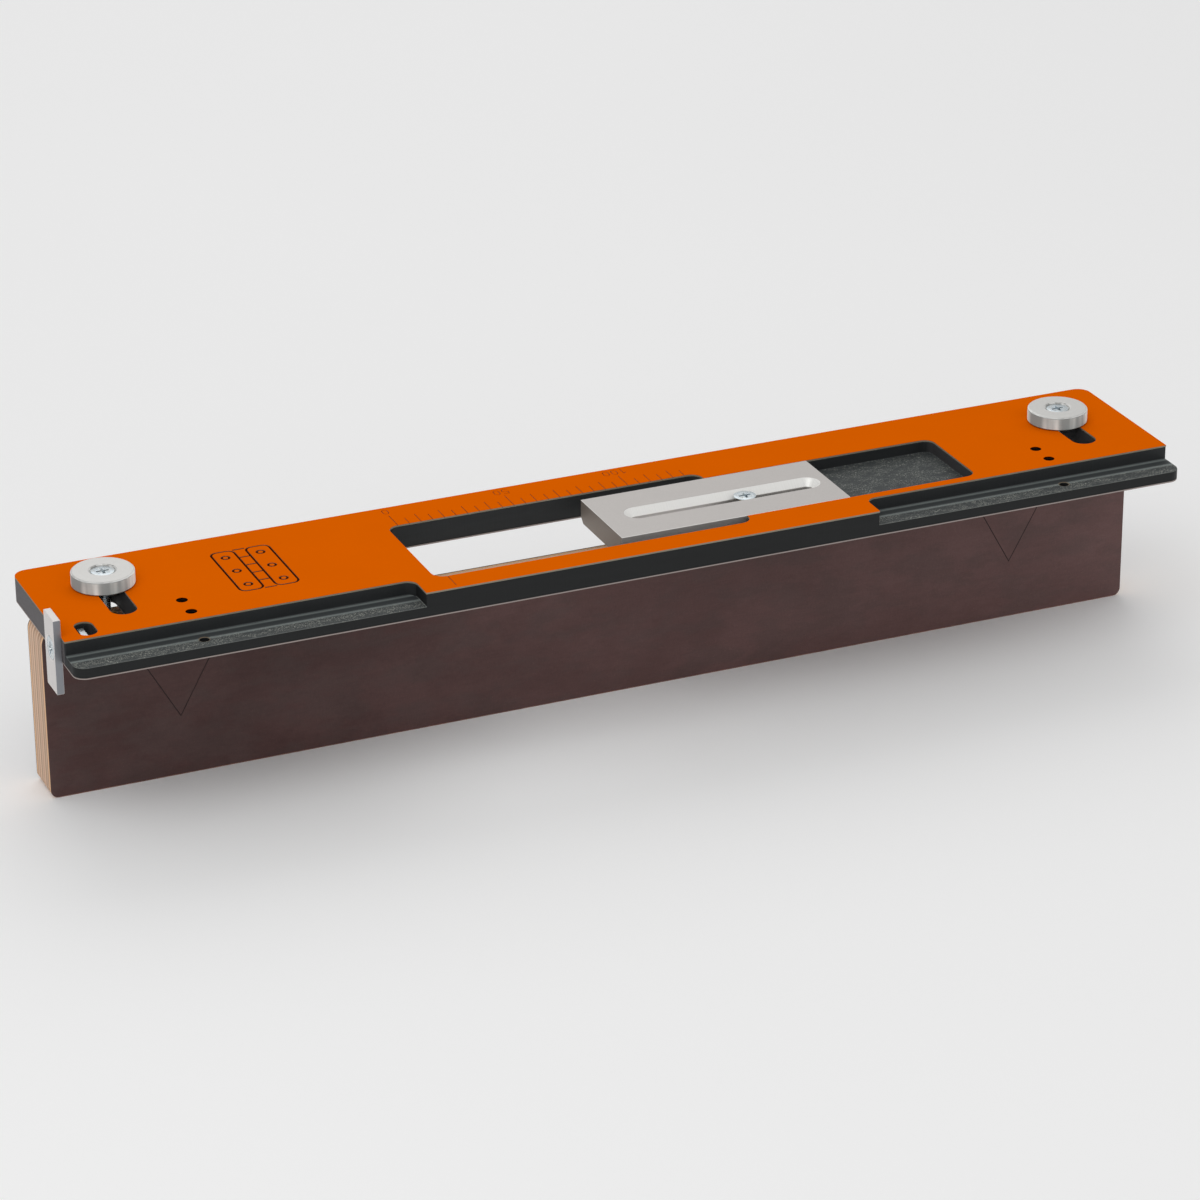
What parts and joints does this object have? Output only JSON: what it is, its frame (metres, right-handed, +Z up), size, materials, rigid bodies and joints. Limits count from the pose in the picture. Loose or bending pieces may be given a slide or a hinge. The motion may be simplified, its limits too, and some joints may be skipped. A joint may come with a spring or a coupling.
{
  "type": "hinge recess routing jig",
  "caption": "Router jig for hinge recesses: slotted template plate with sliding stop block and end stop, clamped to a fence board.",
  "frame": {"origin": "under the middle of the jig's box, on the surface that the fence board's lower edge stands on", "axes": "+X along the jig away from the end stop, +Y from the ledges to the back edge, +Z up through the plate"},
  "size_m": [0.4782, 0.084, 0.0897],
  "materials": {
    "phenolic_core": "milled black phenolic core",
    "orange_laminate": "satin orange laminate with dark engraving",
    "backing_laminate": "satin dark laminate with a pale edge",
    "blasted_aluminium": "bead blasted, with a bright milled slot",
    "bar_aluminium": "satin, with sawn edges",
    "turned_aluminium": "fine turned, with polished chamfers",
    "zinc_steel": "bright zinc plate",
    "insert_brass": "plain turned brass",
    "birch_plywood": "sanded edge with thin veneers",
    "phenolic_film": "dark brown film, slightly mottled"
  },
  "bodies": {
    "fence": {"fence_core": "birch_plywood", "fence_front_film": "phenolic_film", "fence_back_film": "phenolic_film", "fence_insert_left": "insert_brass", "fence_insert_right": "insert_brass"},
    "template": {"template_plate": "phenolic_core", "top_laminate": "orange_laminate", "backing_laminate": "backing_laminate", "stop_insert": "insert_brass", "end_stop_nut": "zinc_steel"},
    "stop_block": {"stop_block": "blasted_aluminium"},
    "stop_screw": {"stop_screw": "zinc_steel"},
    "end_stop": {"end_stop_bar": "bar_aluminium"},
    "end_stop_screw": {"end_stop_screw": "zinc_steel"},
    "clamp_disc_left": {"clamp_disc_left": "turned_aluminium"},
    "clamp_screw_left": {"clamp_screw_left": "zinc_steel"},
    "clamp_disc_right": {"clamp_disc_right": "turned_aluminium"},
    "clamp_screw_right": {"clamp_screw_right": "zinc_steel"}
  },
  "joints": [
    {"name": "plate_slide", "type": "slide", "parent": "fence", "child": "template", "axis": [0, 1, 0], "range_m": [-0.004, 0.0245]},
    {"name": "stop_slide", "type": "slide", "parent": "template", "child": "stop_block", "axis": [1, 0, 0], "range_m": [-0.0275, 0.047]},
    {"name": "stop_screw_turn", "type": "hinge", "parent": "template", "child": "stop_screw", "pos_m": [0.05735, -0.0038, 0.0803], "axis": [0, 0, 1], "range_deg": [0, 360]},
    {"name": "end_stop_swivel", "type": "hinge", "parent": "template", "child": "end_stop", "pos_m": [-0.23755, -0.0184, 0.0761], "axis": [1, 0, 0], "continuous": true},
    {"name": "end_stop_screw_turn", "type": "hinge", "parent": "template", "child": "end_stop_screw", "pos_m": [-0.23755, -0.0184, 0.0761], "axis": [-1, 0, 0], "range_deg": [0, 360]},
    {"name": "left_disc_lift", "type": "slide", "parent": "fence", "child": "clamp_disc_left", "axis": [0, 0, 1], "range_m": [0, 0.00159]},
    {"name": "left_screw_turn", "type": "hinge", "parent": "clamp_disc_left", "child": "clamp_screw_left", "pos_m": [-0.20655, 0.0169, 0.0873], "axis": [0, 0, 1], "range_deg": [0, 720]},
    {"name": "right_disc_lift", "type": "slide", "parent": "fence", "child": "clamp_disc_right", "axis": [0, 0, 1], "range_m": [0, 0.00159]},
    {"name": "right_screw_turn", "type": "hinge", "parent": "clamp_disc_right", "child": "clamp_screw_right", "pos_m": [0.20985, 0.0139, 0.0873], "axis": [0, 0, 1], "range_deg": [0, 720]}
  ],
  "couplings": [
    {"joint": "left_screw_turn", "follows": "left_disc_lift", "rad_per_m": 7854},
    {"joint": "right_screw_turn", "follows": "right_disc_lift", "rad_per_m": 7854}
  ]
}
